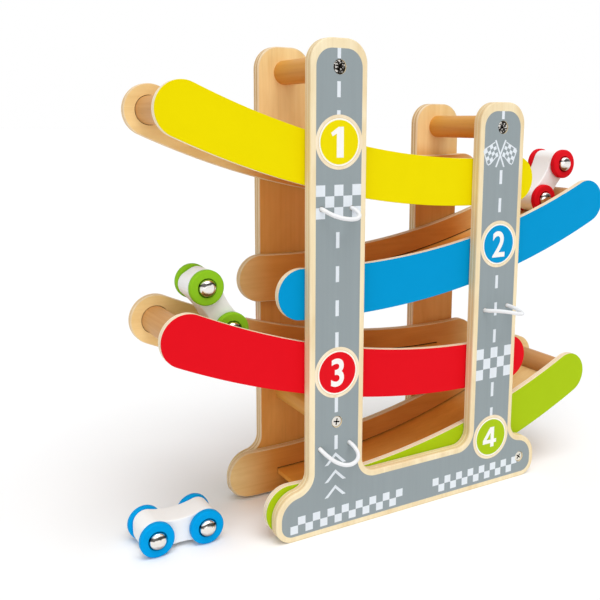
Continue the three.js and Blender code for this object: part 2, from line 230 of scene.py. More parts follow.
def panel_half(top):
    """One half of the panel's outline, from its foot up round the upright and down to the window."""
    shoulder = (86.5, 14.5, 16.5)
    fillet = (90.75, 14.5 + math.sqrt(26.5**2 - 4.25**2), 10)
    meet = math.degrees(math.atan2(fillet[1] - shoulder[1], fillet[0] - shoulder[0]))
    return (
        arc(92, 11, 11, -90, 0, 12)
        + arc(*shoulder, 0, meet, 14)
        + arc(*fillet, meet + 180, 180, 10)[1:]
        + arc(66.75, top - 14, 14, 0, 90, 14)
        + arc(57.25, top - 14, 14, 90, 180, 14)
        + arc(33.25, 43, 10, 0, -90, 12)
    )


def board(name, outline, front, back, ease=0.0, segments=3):
    """Saws a board to an outline of (x, z) millimetres, between two depths in metres, and eases its edges."""
    bpy.ops.object.select_all(action="DESELECT")
    bpy.ops.mesh.primitive_circle_add(vertices=len(outline), radius=1, fill_type="NGON")
    piece = bpy.context.object
    piece.name = name
    for vertex, (x, z) in zip(piece.data.vertices, outline):
        vertex.co = (x * MM, front, z * MM)
    bpy.ops.object.mode_set(mode="EDIT")
    bpy.ops.mesh.select_all(action="SELECT")
    bpy.ops.mesh.extrude_region_move(TRANSFORM_OT_translate={"value": (0, back - front, 0)})
    bpy.ops.mesh.select_all(action="SELECT")
    bpy.ops.mesh.normals_make_consistent(inside=False)
    bpy.ops.object.mode_set(mode="OBJECT")
    if ease:
        choose(piece, "edges", lambda edge: level(piece, edge))
        bpy.ops.mesh.bevel(offset=ease, segments=segments, affect="EDGES", clamp_overlap=False)
        bpy.ops.object.mode_set(mode="OBJECT")
    return piece


def level(piece, edge):
    """Whether an edge lies in one of the board's two faces."""
    first, second = (piece.data.vertices[i].co.y for i in edge.vertices)
    return abs(first - second) < 1e-7


def choose(piece, kind, test):
    """Goes into edit mode on a piece with only the vertices, edges or polygons that pass a test selected."""
    bpy.ops.object.select_all(action="DESELECT")
    bpy.context.view_layer.objects.active = piece
    piece.select_set(True)
    mesh = piece.data
    for element in (*mesh.vertices, *mesh.edges, *mesh.polygons):
        element.select = False
    for element in getattr(mesh, kind):
        element.select = test(element)
    kinds = ("vertices", "edges", "polygons")
    bpy.context.tool_settings.mesh_select_mode = [kind == each for each in kinds]
    bpy.ops.object.mode_set(mode="EDIT")


def apply_modifier(piece, kind, **settings):
    """Adds a modifier and applies it."""
    bpy.ops.object.select_all(action="DESELECT")
    bpy.context.view_layer.objects.active = piece
    piece.select_set(True)
    modifier = piece.modifiers.new(kind.lower(), kind)
    for setting, value in settings.items():
        setattr(modifier, setting, value)
    bpy.ops.object.modifier_apply(modifier=modifier.name)


def smooth(piece, angle=40):
    """Shades the round parts smooth and keeps the flat faces flat."""
    bpy.ops.object.select_all(action="DESELECT")
    bpy.context.view_layer.objects.active = piece
    piece.select_set(True)
    bpy.ops.object.shade_smooth_by_angle(angle=math.radians(angle))
    apply_modifier(piece, "WEIGHTED_NORMAL", keep_sharp=True, weight=100)


def fix(piece, body, node=None):
    """Sets a finished piece on the body that carries it, in place of its solid."""
    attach(piece, body)
    if node:
        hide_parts(node)


def peg(name, x, z, diameter, front, back, sides=48):
    """A round bar along Y, in millimetres across and metres deep."""
    bpy.ops.object.select_all(action="DESELECT")
    bpy.ops.mesh.primitive_cylinder_add(
        vertices=sides,
        radius=diameter / 2 * MM,
        depth=back - front,
        location=(x * MM, (front + back) / 2, z * MM),
        rotation=(math.pi / 2, 0, 0),
    )
    bar = bpy.context.object
    bar.name = name
    bpy.ops.object.transform_apply(location=True, rotation=True, scale=True)
    return bar


def join(pieces):
    """Makes one mesh of several."""
    bpy.ops.object.select_all(action="DESELECT")
    for piece in pieces:
        piece.select_set(True)
    bpy.context.view_layer.objects.active = pieces[0]
    bpy.ops.object.join()
    return pieces[0]


def darker(color, *keep):
    """A colour with each of its three parts, or all alike, kept to a share."""
    keep = keep * 3 if len(keep) == 1 else keep
    return tuple(c * k for c, k in zip(color, keep)) + (1.0,)


def veneer(wood, face, grain):
    """Streaks, soft clouds and short dark pores along the grain: the colour, the streaks and the pores."""
    streak = wood.noise(grain, 5.0, 0.0, 0.5)
    cloud = wood.noise(tuple(16 + g / 12 for g in grain), 3.0, 3.0, 1.2)
    pores = wood.noise(tuple(g * 4 for g in grain), 2.0, 7.0)
    pore = ((pores - 0.6) * 3.0).sum("MAXIMUM", 0.0)
    deep = darker(face, 0.86, 0.78, 0.66)
    tone = wood.node("ShaderNodeMapRange", (), [streak * 0.35 + cloud * 0.65, 0.34, 0.68, 0.0, 1.0])
    color = wood.mix(tone, face, deep)
    return wood.mix(pore * 0.35, color, darker(deep, 0.6)), streak, pore


def birch(name, face, core, front, plies, ply, grain=(420, 420, 9)):
    """Plywood: a face veneer, and darker cross plies with thin glue lines that show on the edges."""
    wood = Finish(name, specular_ior_level=0.2)
    _, y, _ = wood.axes()
    depth = (y - front) / ply
    crossed = (depth.sum("FLOOR").sum("FLOORED_MODULO", 2.0) > 0.5) * (depth > 0.02) * (depth < plies - 0.02)
    glue = (abs(depth.sum("FRACT") - 0.5) > 0.45) * (depth > 0.5) * (depth < plies - 0.5)
    color, streak, pore = veneer(wood, face, grain)
    color = wood.mix(crossed * 0.8, color, core)
    color = wood.mix(glue * 0.55, color, darker(core, 0.45))
    return wood.show(color, 0.44 + streak * 0.16, streak * 0.5 - pore * 0.4, 0.00006)


def honey(name, face, shaded_color, shade, grain=(420, 420, 9)):
    """The inner face of a board under clear lacquer, with painted shade: shade gives, from its x and z, where
    the face turns to the darker, warmer shaded colour.
    """
    wood = Finish(name, specular_ior_level=0.2)
    x, _, z = wood.axes()
    pale, streak, pore = veneer(wood, face, grain)
    # The second veneer is the same wood in a darker, warmer colour, as painted shade; the shade mask mixes it
    # in.
    deep, _, _ = veneer(wood, shaded_color, grain)
    color = wood.mix(shade(wood, x / MM, z / MM), pale, deep)
    return wood.show(color, 0.42 + streak * 0.16, streak * 0.5 - pore * 0.4, 0.00006)


def ease_in(wood, value, start, end):
    """Goes from 0 at the start to 1 at the end."""
    settings = {"interpolation_type": "SMOOTHSTEP"}
    return wood.node("ShaderNodeMapRange", settings, [value, start, end, 0.0, 1.0])


def print_ink(name, color, grain=(420, 420, 9)):
    """Flat screen ink on wood: the grain under it shows a little, and it breaks up finely."""
    ink = Finish(name, specular_ior_level=0.06)
    streak = ink.noise(grain, 5.0)
    fleck = ink.noise((2600, 2600, 2600), 2.0)
    best = ink.node("ShaderNodeMapRange", (), [streak * 0.6 + fleck * 0.4, 0.35, 0.65, 0.0, 1.0])
    broken = ink.mix(best, darker(color, 0.95), color)
    return ink.show(broken, 0.5 + fleck * 0.15, streak * 0.5 + fleck * 0.3, 0.00005)


def in_print(place, top):
    """Whether a point of the face lies on the round top of the grey print, inside the bare border."""
    arch = top - 14
    across = max(abs(abs(place.x / MM) - 62) - 4.75, 0)
    on_arch = place.z / MM > arch - 0.6 and math.hypot(across, place.z / MM - arch) < 11
    return on_arch and place.y < -3.49 * MM


outline = panel_half(262.2) + [(-x, z) for x, z in reversed(panel_half(295.7))]
LEFT = -62
RIGHT = 62
SCREWS = {
    "top_left": (LEFT, 279.72, 8.0, "dark_steel"),
    "top_right": (RIGHT, 246.2, 8.0, "dark_steel"),
    "lower_left": (LEFT, 70.3, 6.8, "bright_steel"),
    "right_foot": (89.5, 15.0, 6.8, "bright_steel"),
}
HEAD_ROOM = 0.5
CORD_HOLE = 3.1
PANEL_EASE = 0.8 * MM
BARE_BORDER = 2.7 * MM
PRINT_DROP = 2.2 * MM
CORD_HOLES = [(-73.5, 199.9), (-53.1, 199.6), (52.3, 126.0), (72.0, 127.1), (-73.6, 55.2), (-52.9, 55.4)]
front_panel = board("front_panel", outline, -PLY / 2, PLY / 2, PANEL_EASE)
choose(front_panel, "polygons", lambda face: face.normal.y < -0.99 and len(face.vertices) > 20)
bpy.ops.mesh.inset(thickness=BARE_BORDER, depth=0, use_even_offset=True)
bpy.ops.object.mode_set(mode="OBJECT")
pale_birch = birch("pale_birch", tint(244, 228, 192), tint(228, 198, 146), -PLY / 2, 5, PLY / 5)
grey_ink = print_ink("grey_road_ink", tint(148, 158, 161))
front_panel.data.materials.append(pale_birch)
front_panel.data.materials.append(grey_ink)
for face in front_panel.data.polygons:
    face.material_index = int(face.select)
for side, top in ((-1, 295.7), (1, 262.2)):
    choose(front_panel, "vertices", lambda v: v.co.x * side > 0 and in_print(v.co, top))
    bpy.ops.transform.translate(value=(0, 0, -PRINT_DROP))
    bpy.ops.object.mode_set(mode="OBJECT")
drills = join(
    [peg(f"sink_{where}", x, z, head + HEAD_ROOM, -PLY, 0.0) for where, (x, z, head, _) in SCREWS.items()]
    + [peg("cord_drill", x, z, CORD_HOLE, -PLY, PLY, 24) for x, z in CORD_HOLES]
)
apply_modifier(front_panel, "BOOLEAN", object=drills, operation="DIFFERENCE", solver="EXACT")
smooth(front_panel)
fix(front_panel, "frame", "front_frame_panel")


# Road print: white screen ink over the grey, laid with stencils. Centre dashes, check bands, chevrons and
# crossed flags run up the uprights, and check strips run along the base bar.
INK = 0.05 * MM


def stencil(name, shapes, lift, thickness, look):
    """Prints flat shapes, each a list of (x, z) millimetres, a little proud of the panel's face."""
    bpy.ops.object.select_all(action="DESELECT")
    bpy.ops.mesh.primitive_circle_add(vertices=len(shapes[0]), fill_type="NGON")
    sheet = bpy.context.object
    sheet.name = name
    bpy.ops.object.mode_set(mode="EDIT")
    for shape in shapes[1:]:
        bpy.ops.mesh.primitive_circle_add(vertices=len(shape), fill_type="NGON")
    bpy.ops.object.mode_set(mode="OBJECT")
    corners = [corner for shape in shapes for corner in shape]
    for vertex, (x, z) in zip(sheet.data.vertices, corners):
        vertex.co = (x * MM, -PLY / 2 - lift, z * MM)
    bpy.ops.object.mode_set(mode="EDIT")
    bpy.ops.mesh.select_all(action="SELECT")
    bpy.ops.mesh.extrude_region_move(TRANSFORM_OT_translate={"value": (0, thickness, 0)})
    bpy.ops.mesh.select_all(action="SELECT")
    bpy.ops.mesh.normals_make_consistent(inside=False)
    bpy.ops.object.mode_set(mode="OBJECT")
    sheet.data.materials.append(look)
    return sheet


def patch(x0, z0, x1, z1):
    return [(x0, z0), (x1, z0), (x1, z1), (x0, z1)]


def checks(x0, z0, x1, z1, columns, rows, first):
    """The white squares of a check pattern; first is 0 where the lower left one is white."""
    wide = (x1 - x0) / columns
    high = (z1 - z0) / rows
    return [
        patch(x0 + i * wide, z0 + j * high, x0 + (i + 1) * wide, z0 + (j + 1) * high)
        for i in range(columns)
        for j in range(rows)
        if (i + j + first) % 2 == 0
    ]


def flag(side):
    """One of the crossed flags, flying to the left (-1) or the right (1) of the right upright's middle."""
    top, tip, tail, foot = (-4.2, 237.4), (-14.8, 231.8), (-10.8, 221.6), (-0.8, 227.8)

    def at(u, v):
        x = (1 - u) * (1 - v) * top[0] + u * (1 - v) * tip[0] + u * v * tail[0] + (1 - u) * v * foot[0]
        z = (1 - u) * (1 - v) * top[1] + u * (1 - v) * tip[1] + u * v * tail[1] + (1 - u) * v * foot[1]
        return RIGHT - 1.6 - side * x, z + 0.7 * math.sin(2 * math.pi * u) * v

    def cell(u0, v0, u1, v1):
        return [at(u0, v0), at(u1, v0), at(u1, v1), at(u0, v1)]

    hem = 0.07
    step = (1 - 2 * hem) / 4
    squares = [
        cell(hem + i * step, hem + j * step, hem + (i + 1) * step, hem + (j + 1) * step)
        for i in range(4)
        for j in range(4)
        if (i + j) % 2 == 1
    ]
    hems = []
    for i in range(4):
        low, high = hem + i * step, hem + (i + 1) * step
        hems += [cell(low, 0, high, hem), cell(low, 1 - hem, high, 1), cell(1 - hem, low, 1, high)]
    pole = [(-4.9, 237.8), (-3.7, 238.2), (4.0, 220.8), (2.8, 220.5)]
    return squares + hems + [[(RIGHT - 1.6 - side * x, z) for x, z in pole]]


def chevron(apex):
    arms = [(0, 0), (7.6, -7.4), (5.1, -7.4), (0, -2.3), (-5.1, -7.4), (-7.6, -7.4)]
    return [(LEFT - 0.8 + x, apex + z) for x, z in arms]


def dashes(x, lengths):
    return [patch(x - 1.15, low, x + 1.15, high) for high, low in lengths]


white_shapes = dashes(LEFT - 0.5, [(290.0, 284.4), (271.8, 262.9), (255.7, 252.0), (186.0, 176.6)])
white_shapes += dashes(LEFT - 0.5, [(165.9, 156.4), (145.5, 135.9), (126.1, 115.9)])
white_shapes += dashes(LEFT - 0.5, [(87.0, 76.5), (61.9, 53.0)])
white_shapes += dashes(RIGHT - 0.3, [(256.6, 251.4), (218.6, 209.5), (200.3, 191.0), (148.8, 139.9)])
white_shapes += dashes(RIGHT - 0.3, [(130.3, 121.3), (111.7, 102.6), (74.6, 64.6), (56.6, 49.8)])
white_shapes += checks(LEFT - 15.2, 194.1, LEFT + 15.2, 213.5, 5, 3, 0)
white_shapes += checks(RIGHT - 15.2, 77.6, RIGHT + 15.2, 99.2, 5, 3, 0)
white_shapes += checks(-93.8, 5.2, -11.9, 15.5, 16, 2, 0)
white_shapes += checks(12.6, 5.6, 87.4, 15.9, 15, 2, 1)
white_shapes += [chevron(apex) for apex in (51.0, 40.0, 30.0)]
white_ink = print_ink("white_road_ink", tint(226, 232, 238))
white_marks = stencil("white_road_marks", white_shapes, INK, INK, white_ink)
apply_modifier(white_marks, "BOOLEAN", object=drills, operation="DIFFERENCE", solver="EXACT")
bpy.data.objects.remove(drills)
fix(white_marks, "frame")
for name, side, lift in (("right_flag", 1, INK), ("left_flag", -1, 1.4 * INK)):
    fix(stencil(name, flag(side), lift, INK, white_ink), "frame")


# Number badges: each ramp's number in white on a disc of the ramp's colour, inside a white line and a ring of
# bare wood. They are printed over the road one after another.
YELLOW = tint(235, 217, 0)
BLUE = tint(0, 149, 207)
RED = tint(226, 16, 30)
GREEN = tint(169, 198, 22)
BADGES = {
    "1": (LEFT, 237.7, YELLOW, "yellow"),
    "2": (RIGHT, 169.8, BLUE, "blue"),
    "3": (LEFT, 101.3, RED, "red"),
    "4": (RIGHT, 35.3, GREEN, "green"),
}


def disc(x, z, radius):
    return arc(x, z, radius, 0, 360, 96)[:-1]


bare = Finish("badge_bare_wood", specular_ior_level=0.1)
bare_color, bare_streak, _ = veneer(bare, tint(247, 233, 206), (420, 420, 9))
bare_wood = bare.show(bare_color, 0.45 + bare_streak * 0.1)
tan_ink = print_ink("badge_tan_ink", tint(222, 200, 160))
cream_ink = print_ink("badge_cream_ink", tint(250, 246, 232))
number_ink = print_ink("badge_number_ink", tint(246, 244, 240))
for layer, (ring, radius, look) in enumerate(
    (("bare", 15.6, bare_wood), ("tan", 13.9, tan_ink), ("cream", 13.6, cream_ink))
):
    rings = [disc(x, z, radius) for x, z, _, _ in BADGES.values()]
    fix(stencil(f"badge_{ring}_rings", rings, (2 + layer) * INK, 2 * INK, look), "frame")
STROKES = {
    "1": [[(2.8, 8.7), (-0.6, 8.7), (-5.6, 5.4), (-4.6, 3.4), (-1.8, 4.9), (-1.8, -8.7), (2.8, -8.7)]],
    "4": [
        [(-0.2, -7.2), (2.8, -7.2), (2.8, 7.0), (-0.2, 7.0)],
        [(-7.0, -4.4), (-0.2, -4.4), (-0.2, -1.8), (-7.0, -1.8)],
        [(2.8, -4.4), (5.0, -4.4), (5.0, -1.8), (2.8, -1.8)],
        [(-7.0, -1.8), (-3.8, -1.8), (-0.2, 3.2), (-0.2, 7.0), (-0.9, 7.0)],
    ],
}
NUMBER_HEIGHT = 17.4 * MM
for number, (x, z, color, name) in BADGES.items():
    spot = stencil(f"badge_{name}", [disc(x, z, 12.6)], 5 * INK, 2 * INK, print_ink(f"{name}_ink", color))
    fix(spot, "frame")
    if number in STROKES:
        strokes = [[(x + a, z + b) for a, b in stroke] for stroke in STROKES[number]]
        fix(stencil(f"badge_number_{number}", strokes, 6 * INK, 2 * INK, number_ink), "frame")
        continue
    bpy.ops.object.select_all(action="DESELECT")
    bpy.ops.object.text_add(rotation=(math.pi / 2, 0, 0))
    digit = bpy.context.object
    digit.name = f"badge_number_{number}"
    digit.data.body = number
    digit.data.offset = 0.02
    digit.data.extrude = 0.001
    bpy.ops.object.convert(target="MESH")
    bpy.ops.object.transform_apply(location=True, rotation=True, scale=True)
    low = Vector([min(v.co[i] for v in digit.data.vertices) for i in range(3)])
    high = Vector([max(v.co[i] for v in digit.data.vertices) for i in range(3)])
    grow = NUMBER_HEIGHT / (high.z - low.z)
    middle = (low + high) / 2
    for vertex in digit.data.vertices:
        away = vertex.co - middle
        out = -PLY / 2 - 5.5 * INK + away.y * 0.05
        vertex.co = (x * MM + away.x * grow * 0.95, out, z * MM + away.z * grow)
    digit.data.materials.append(number_ink)
    fix(digit, "frame")


# Back frame panel: the same outline in the same plywood, bare and lacquered on both sides.
# It stands behind the ramps, and its inner face has painted shade: darker and warmer below a line a little
# under the top ramp.
BACK = 67.6 * MM
back_panel = board("back_panel", outline, BACK - PLY / 2, BACK + PLY / 2, PANEL_EASE)
back_birch = birch("back_birch", tint(242, 222, 188), tint(204, 160, 100), BACK - PLY / 2, 5, PLY / 5)
back_panel.data.materials.append(back_birch)


# Painted shade mask: 1 below a line a little under the top ramp, easing to 0 above it.
def painted_shade_below_top_ramp(wood, x, z):
    return ease_in(wood, z + x * 0.11, 242, 226)


back_painted_shade_birch = honey("back_birch_painted_shade", tint(255, 226, 166), tint(232, 168, 90), painted_shade_below_top_ramp)
back_panel.data.materials.append(back_painted_shade_birch)
for face in back_panel.data.polygons:
    face.material_index = int(face.normal.y < -0.99)
drills = join(
    [
        peg(f"sink_{where}", x, z, head + HEAD_ROOM, BACK, BACK + PLY)
        for where, (x, z, head, _) in SCREWS.items()
    ]
)
apply_modifier(back_panel, "BOOLEAN", object=drills, operation="DIFFERENCE", solver="EXACT")
bpy.data.objects.remove(drills)
smooth(back_panel)
fix(back_panel, "frame", "back_frame_panel")


# Frame dowels: turned beech bars that hold the two panels apart. They are let into blind holes and screwed
# from outside.
FRAME_BAR = 15.2
BAR_LET_IN = 2.2 * MM


def dowel(name, x, z, diameter, front, back):
    bar = peg(name, x, z, diameter, front, back, 64)
    choose(bar, "edges", lambda edge: level(bar, edge))
    bpy.ops.mesh.bevel(offset=0.6 * MM, segments=2, affect="EDGES")
    bpy.ops.object.mode_set(mode="OBJECT")
    smooth(bar)
    return bar


def beech(name, face):
    """Turned beech: long grain along the bar, with short dark rays."""
    wood = Finish(name, specular_ior_level=0.25)
    streak = wood.noise((520, 12, 520), 4.0)
    ray = wood.noise((1800, 160, 1800), 1.0, 5.0)
    dark_ray = ((ray - 0.62) * 6.0).sum("MAXIMUM", 0.0).sum("MINIMUM", 1.0)
    deep = darker(face, 0.9, 0.84, 0.74)
    color = wood.mix(wood.node("ShaderNodeMapRange", (), [streak, 0.3, 0.7, 0.0, 1.0]), face, deep)
    color = wood.mix(dark_ray * 0.18, color, darker(deep, 0.5))
    return wood.show(color, 0.4 + streak * 0.15, streak * 0.6 - dark_ray * 0.3, 0.00006)


beech_look = beech("turned_beech", tint(214, 154, 68))
for where, (x, z, _, _) in SCREWS.items():
    bar = dowel(f"{where}_bar", x, z, FRAME_BAR, PLY / 2 - BAR_LET_IN, BACK - PLY / 2 + BAR_LET_IN)
    bar.data.materials.append(beech_look)
    fix(bar, "frame", f"{where}_dowel")


# Frame screws: countersunk cross-head screws, sunk just under the face. The two at the tops are blackened
# steel, and the lower ones are bright nickel.
def steel(name, color, roughness, glint=0.0):
    """Screw metal with fine scuffs; glint is how far bright spots stand out, partly wear and partly painted
    glints.
    """
    metal = Finish(name, metallic=1.0)
    scuff = metal.noise((900, 900, 900), 4.0)
    spots = metal.noise((700, 700, 700), 1.0, 4.0)
    wear_and_glint = metal.node("ShaderNodeMapRange", (), [spots, 0.5, 0.57, 0.0, glint])
    dulled = metal.mix(scuff, color, darker(color, 0.75))
    return metal.show(metal.mix(wear_and_glint, dulled, tint(236, 232, 226)), roughness + scuff * 0.12, scuff, 0.00003)


STEELS = {
    "dark_steel": steel("black_screw_steel", tint(44, 40, 36), 0.14, 0.8),
    "bright_steel": steel("bright_nickel", tint(240, 236, 228), 0.2),
}
# Near-black steel for the faces inside the cross recess: painted shade in the recess.
recess_painted_shade = steel("painted_shade_screw_recess", tint(30, 27, 24), 0.5)


def screw(name, x, z, head, turn, back, metal):
    """Turned head with a cross recess, its shank hidden in the dowel."""
    outer = BACK + PLY / 2 if back else -PLY / 2
    inward = -1 if back else 1
    top = outer + inward * 0.4 * MM
    piece = peg(name, x, z, head, min(top, top + inward * 2.4 * MM), max(top, top + inward * 2.4 * MM), 40)
    choose(piece, "edges", lambda edge: level(piece, edge) and abs(edge_depth(piece, edge) - top) < 1e-6)
    bpy.ops.mesh.bevel(offset=0.5 * MM, segments=4, affect="EDGES")
    bpy.ops.object.mode_set(mode="OBJECT")
    choose(piece, "polygons", lambda face: face.normal.y * inward > 0.99)
    bpy.ops.transform.resize(value=(0.5, 1, 0.5), center_override=(x * MM, top, z * MM))
    bpy.ops.mesh.extrude_region_move(TRANSFORM_OT_translate={"value": (0, inward * 21 * MM, 0)})
    bpy.ops.object.mode_set(mode="OBJECT")
    for slot_turn in (turn, turn + 90):
        bpy.ops.object.select_all(action="DESELECT")
        bpy.ops.mesh.primitive_cube_add(
            size=1, location=(x * MM, top, z * MM), rotation=(0, math.radians(slot_turn), 0),
            scale=(head * 0.62 * MM, 2.4 * MM, 0.85 * MM),
        )
        slot = bpy.context.object
        bpy.ops.object.transform_apply(location=True, rotation=True, scale=True)
        apply_modifier(piece, "BOOLEAN", object=slot, operation="DIFFERENCE", solver="EXACT")
        bpy.data.objects.remove(slot)
    piece.data.materials.append(metal)
    piece.data.materials.append(recess_painted_shade)
    for face in piece.data.polygons:
        deep = (face.center.y - top) * inward
        from_axis = math.hypot(face.center.x - x * MM, face.center.z - z * MM)
        face.material_index = int(0.1 * MM < deep < 1.4 * MM and from_axis < head * 0.4 * MM)
    smooth(piece)
    return piece


def edge_depth(piece, edge):
    return piece.data.vertices[edge.vertices[0]].co.y


SCREW_TURNS = {"top_left": 24, "top_right": -17, "lower_left": 10, "right_foot": 38}
for where, (x, z, head, metal) in SCREWS.items():
    for end, back in (("front", False), ("back", True)):
        piece = screw(f"{where}_{end}_screw_visual", x, z, head, SCREW_TURNS[where], back, STEELS[metal])
        fix(piece, "frame", f"{where}_{end}_screw")


# Ramps: two bowed plywood sides, painted on the outside, with a thin bent plywood floor let into grooves
# between them and a dowel across the starting end. Each is held between the two frame panels.
CURVE = 500
RUN = 241
SIDE_HEIGHT = 30.6
FLOOR_RUN = (8.7, 221)
FLOOR_LIFTS = (0, -3)
FLOOR_DEPTHS = (7.6 * MM, 60.0 * MM)
GROOVE_RUN = (8.4, 221.3)
GROOVE_LIFTS = (0.9, -3.3)
GROOVE_DEPTHS = (7.3 * MM, 60.3 * MM)
START_BAR = 16.8
START_BAR_DEPTHS = (7.1 * MM, 60.5 * MM)
SOCKET = 17.5
SOCKET_DEPTHS = (6.8 * MM, 60.8 * MM)
FRONT_SIDE = (3.8 * MM, 8.8 * MM)
BACK_SIDE = (58.8 * MM, 63.8 * MM)
RAMPS = {
    "yellow": (1, 82.1, 211.6, 3.25, YELLOW),
    "blue": (-1, 82.1, 149.4, 3.25, BLUE),
    "red": (1, 82.1, 87.2, 3.25, RED),
    "green": (-1, 90.6, 17.4, 2.2, GREEN),
}


def ramp_line(side, reach, height, rise):
    """The ramp's middle line: a point at a run from its starting end and a lift off the line."""
    finish = math.radians(-rise)
    start = finish + RUN / CURVE
    cx = side * (reach + CURVE * math.sin(finish))
    cz = height + CURVE * math.cos(finish)

    def at(run, lift):
        angle = start - run / CURVE
        return cx - side * (CURVE - lift) * math.sin(angle), cz - (CURVE - lift) * math.cos(angle)

    return at


def ramp_outline(at):
    """The side's outline: a band with round ends."""
    half = SIDE_HEIGHT / 2
    points = [at(RUN * i / 72, half) for i in range(73)]
    for centre_run, heading in ((RUN, 1), (0, -1)):
        centre = Vector(at(centre_run, 0))
        up = Vector(at(centre_run, 1)) - centre
        ahead = (Vector(at(centre_run + 0.01, 0)) - centre).normalized() * heading
        for i in range(1, 28):
            angle = math.pi * i / 28
            spot = centre + up * half * math.cos(angle) * heading + ahead * half * math.sin(angle)
            points.append(tuple(spot))
        if heading == 1:
            points += [at(RUN * (72 - i) / 72, -half) for i in range(73)]
    return points


def ramp_strip(at, runs, lifts):
    """The outline of a thin strip along the ramp, between two runs and two lifts."""
    top, under = ([at(runs[0] + (runs[1] - runs[0]) * i / 64, lift) for i in range(65)] for lift in lifts)
    return top + under[::-1]


def paint(name, color):
    """Brushed-on wood paint: satin, with faint grain and small uneven patches."""
    coat = Finish(name, specular_ior_level=0.03)
    grain = coat.noise((14, 900, 420), 4.0)
    patch_tone = coat.noise((70, 70, 70), 3.0, 2.0)
    return coat.show(
        coat.mix(patch_tone * 0.6, color, darker(color, 0.92)), 0.36 + patch_tone * 0.16, grain, 0.00004
    )


ALONG = (9, 420, 420)
# The back sides' edge birch is a darker, warmer copy of the front sides' birch, as painted shade.
RIM_BIRCH_WITH_SHADED_BACK = {
    "front": (tint(252, 242, 220), tint(240, 220, 185)),
    "back": (tint(242, 218, 178), tint(222, 186, 136)),
}
edge_woods = {
    place: birch(f"ramp_{place}_edge_birch", *RIM_BIRCH_WITH_SHADED_BACK[place], near, 3, (far - near) / 3, ALONG)
    for place, (near, far) in (("front", FRONT_SIDE), ("back", BACK_SIDE))
}


# Painted shade mask: 0 at the ramps' outer ends, easing to 1 towards the middle between the frame panels.
def painted_shade_under_frame(wood, x, z):
    return ease_in(wood, abs(x), 106, 70)


# The ramps' inner faces and floors mix their pale wood with a darker, warmer painted-shade colour by that
# mask.
inner_wood_painted_shade = honey("ramp_inner_painted_shade_birch", tint(248, 216, 154), tint(226, 156, 76), painted_shade_under_frame, ALONG)
floor_wood_painted_shade = honey("ramp_floor_painted_shade_birch", tint(250, 218, 156), tint(244, 174, 78), painted_shade_under_frame, ALONG)
start_beech = beech("ramp_start_beech", tint(208, 156, 98))
# The groove and socket cuts in the ramp sides get this near-black wood: painted shade that makes the seams
# along the floor dark.
seam_shade = Finish("painted_shade_groove_wood", roughness=0.9, specular_ior_level=0.05)
saw_marks = seam_shade.noise((300, 900, 300), 3.0)
seam_shade_tone = seam_shade.mix(saw_marks, tint(58, 34, 16), tint(84, 52, 26))
groove_painted_shade = seam_shade.show(seam_shade_tone, height=saw_marks, depth=0.0001)
for color_name, (side, reach, height, rise, color) in RAMPS.items():
    at = ramp_line(side, reach, height, rise)
    coat = paint(f"{color_name}_ramp_paint", color)
    x, z = at(0, 0)
    groove = board("groove", ramp_strip(at, GROOVE_RUN, GROOVE_LIFTS), *GROOVE_DEPTHS)
    groove.data.materials.append(groove_painted_shade)
    socket = peg("socket", x, z, SOCKET, *SOCKET_DEPTHS, 64)
    socket.data.materials.append(groove_painted_shade)
    for place, (near, far), outward in (("front", FRONT_SIDE, -1), ("back", BACK_SIDE, 1)):
        plank = board(f"{color_name}_{place}_plank", ramp_outline(at), near, far, 0.5 * MM, 2)
        for look in (edge_woods[place], coat, inner_wood_painted_shade, groove_painted_shade):
            plank.data.materials.append(look)
        for face in plank.data.polygons:
            outside = face.normal.y * outward
            face.material_index = 1 if outside > 0.3 else 2 if outside < -0.99 else 0
        for tool in (groove, socket):
            cut = {"object": tool, "operation": "DIFFERENCE", "solver": "EXACT", "material_mode": "TRANSFER"}
            apply_modifier(plank, "BOOLEAN", **cut)
        smooth(plank)
        fix(plank, "frame", f"{color_name}_ramp_{place}_side")
    bpy.data.objects.remove(groove)
    bpy.data.objects.remove(socket)
    bed = board(f"{color_name}_bed", ramp_strip(at, FLOOR_RUN, FLOOR_LIFTS), *FLOOR_DEPTHS)
    bed.data.materials.append(floor_wood_painted_shade)
    smooth(bed)
    fix(bed, "frame", f"{color_name}_ramp_floor")
    bar = dowel(f"{color_name}_start_bar", x, z, START_BAR, *START_BAR_DEPTHS)
    bar.data.materials.append(start_beech)
    fix(bar, "frame", f"{color_name}_ramp_start_dowel")


